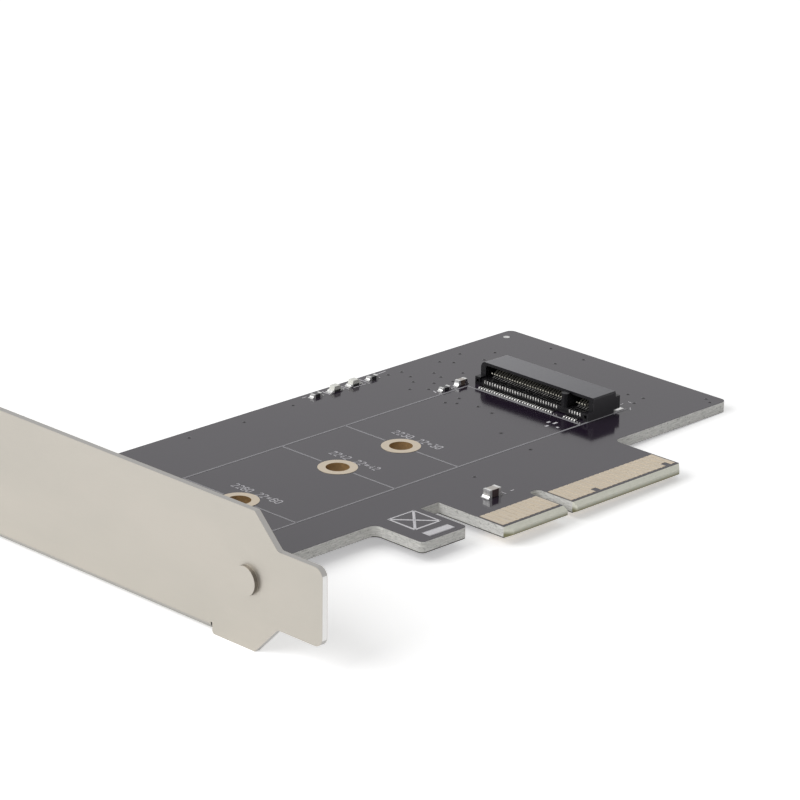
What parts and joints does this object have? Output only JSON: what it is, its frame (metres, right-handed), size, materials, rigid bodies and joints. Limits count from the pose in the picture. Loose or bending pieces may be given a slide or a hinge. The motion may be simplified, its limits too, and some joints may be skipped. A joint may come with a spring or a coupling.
{
  "type": "nvme adapter card",
  "caption": "Expansion card that carries a stick-shaped solid-state drive: dark board with edge connector, low drive socket, plated drive holes and a full-height slot bracket.",
  "frame": {"origin": "centre line of the key notch, at the bottom edge of the edge connector, half-way through the board", "axes": "+X from the bracket to the board's far end, +Y away from the connector edge, +Z out of the component side"},
  "size_m": [0.1146, 0.12, 0.0184],
  "materials": {
    "solder_mask": "dark grey solder mask, semi-gloss, over a glass fibre core",
    "gold_contact": "thin gold plating",
    "socket_plastic": "fine moulded satin black",
    "socket_contact": "gold-flashed spring sheet",
    "tin_plate": "tinned",
    "bracket_steel": "satin nickel-plated sheet steel",
    "screw_steel": "zinc-plated",
    "capacitor_body": "fired ceramic, brown",
    "resistor_body": "dark glazed film",
    "lamp_base": "pale laminate",
    "lamp_lens": "clear to milky resin"
  },
  "bodies": {
    "root": {"circuit_board": "solder_mask", "edge_contacts_top": "gold_contact", "edge_contacts_bottom": "gold_contact", "socket_housing": "socket_plastic", "socket_contacts_front": "socket_contact", "socket_contacts_rear": "socket_contact", "socket_hold_down_left": "tin_plate", "socket_hold_down_right": "tin_plate", "bracket": "bracket_steel", "bracket_screw_lower": "screw_steel", "bracket_screw_upper": "screw_steel", "hole_ring_30": "gold_contact", "hole_ring_42": "gold_contact", "hole_ring_60": "gold_contact", "hole_ring_80": "gold_contact", "lamp_resistor_left_body": "resistor_body", "lamp_resistor_left_ends": "tin_plate", "lamp_resistor_right_body": "resistor_body", "lamp_resistor_right_ends": "tin_plate", "socket_resistor_body": "resistor_body", "socket_resistor_ends": "tin_plate", "socket_capacitor_body": "capacitor_body", "socket_capacitor_ends": "tin_plate", "edge_capacitor_body": "capacitor_body", "edge_capacitor_ends": "tin_plate", "lamp_left_base": "lamp_base", "lamp_left_lens": "lamp_lens", "lamp_right_base": "lamp_base", "lamp_right_lens": "lamp_lens"}
  },
  "joints": []
}
